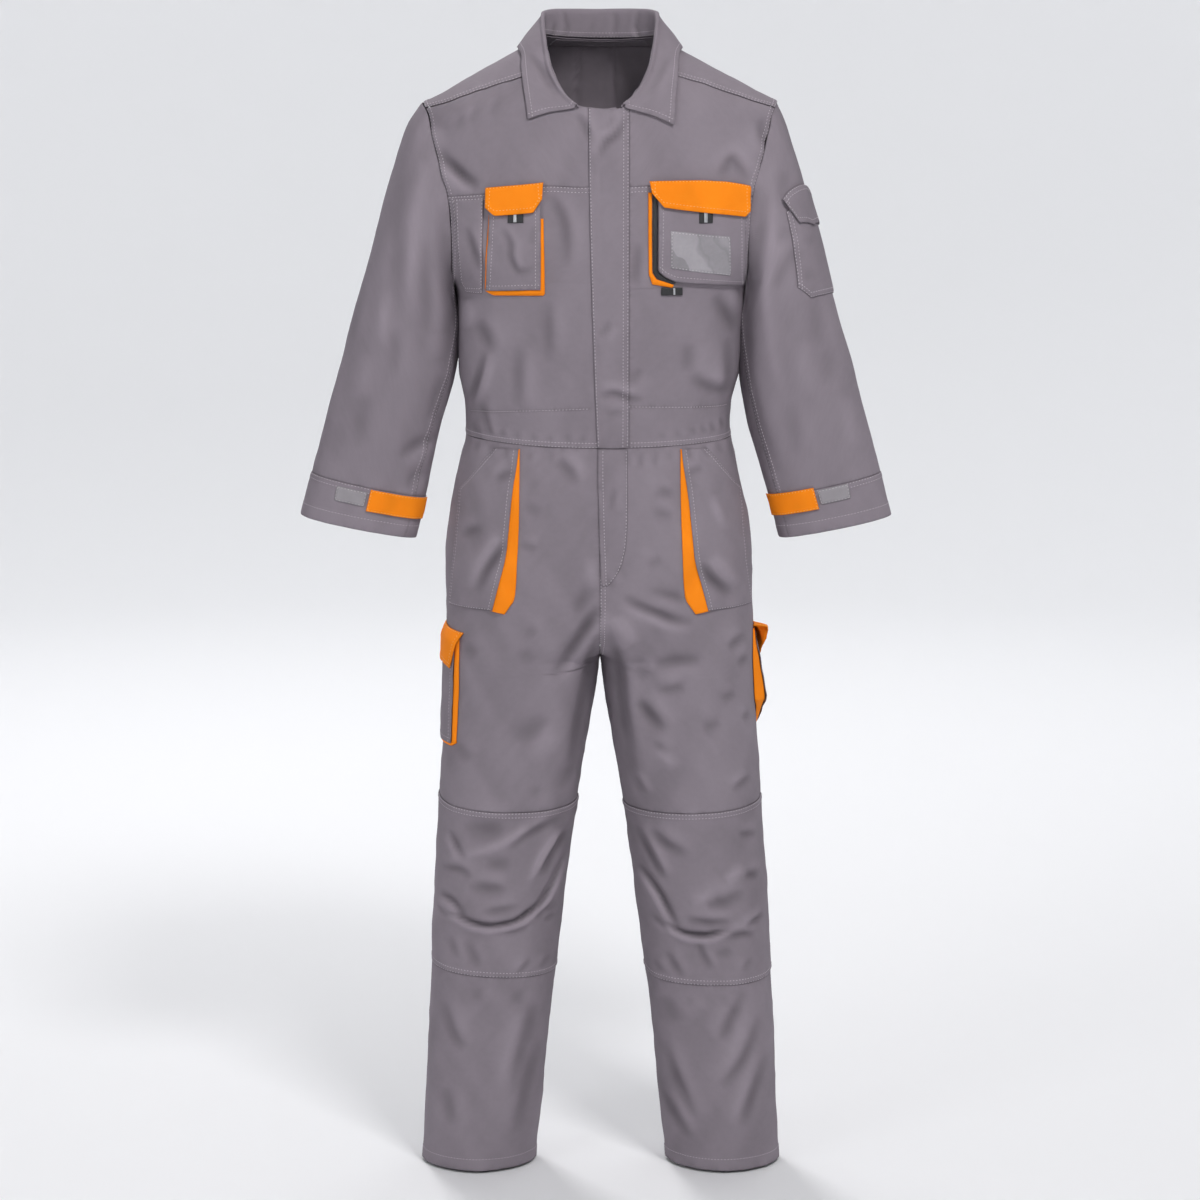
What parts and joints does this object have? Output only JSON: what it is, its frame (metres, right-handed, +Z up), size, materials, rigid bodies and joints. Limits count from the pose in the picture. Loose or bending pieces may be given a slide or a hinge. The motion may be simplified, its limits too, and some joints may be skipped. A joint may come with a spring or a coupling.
{
  "type": "boiler suit",
  "caption": "Work boiler suit filled out as if worn, with turn-down collar, covered front opening, flapped chest and leg pockets, contrast gussets, knee patches and tabbed cuffs.",
  "frame": {"origin": "top of the shoulders, midway between the two sides of the neck, where the suit hangs from its wearer", "axes": "+Z up along the body, the longest way; -Y is the front; +X is the wearer's left"},
  "size_m": [0.832, 0.2793, 1.651],
  "materials": {
    "grey_twill": "matt fine twill, mid grey",
    "orange_twill": "matt fine twill, bright orange",
    "loop_tape": "napped loop tape, light grey",
    "black_tape": "black zip tape and woven tabs",
    "clear_film": "clear flexible film over a grey pocket"
  },
  "bodies": {
    "root": {"back": "grey_twill", "shoulder_piece": "grey_twill", "collar": "grey_twill", "placket": "grey_twill", "fly": "grey_twill", "side_pocket": "grey_twill", "sleeve_pocket": "grey_twill", "sleeve_flap": "grey_twill", "front_upper_right": "grey_twill", "front_upper_left": "grey_twill", "front_lower_right": "grey_twill", "front_lower_left": "grey_twill", "sleeve_right": "grey_twill", "sleeve_left": "grey_twill", "cuff_right": "grey_twill", "cuff_left": "grey_twill", "thigh_front_right": "grey_twill", "thigh_front_left": "grey_twill", "knee_patch_right": "grey_twill", "knee_patch_left": "grey_twill", "shin_front_right": "grey_twill", "shin_front_left": "grey_twill", "leg_back_right": "grey_twill", "leg_back_left": "grey_twill", "hip_pocket_right": "grey_twill", "hip_pocket_left": "grey_twill", "chest_pocket_right": "grey_twill", "chest_pocket_left": "grey_twill", "cargo_pocket_right": "grey_twill", "cargo_pocket_left": "grey_twill", "cuff_tab_right": "orange_twill", "cuff_tab_left": "orange_twill", "hip_gusset_right": "orange_twill", "hip_gusset_left": "orange_twill", "chest_gusset_right": "orange_twill", "chest_gusset_left": "orange_twill", "chest_flap_right": "orange_twill", "chest_flap_left": "orange_twill", "cargo_gusset_right": "orange_twill", "cargo_gusset_left": "orange_twill", "cargo_flap_right": "orange_twill", "cargo_flap_left": "orange_twill", "loop_patch_right": "loop_tape", "loop_patch_left": "loop_tape", "flap_tab_right": "black_tape", "flap_tab_left": "black_tape", "chest_zip_strip": "black_tape", "pocket_end_tab": "black_tape", "pocket_window": "clear_film"}
  },
  "joints": []
}
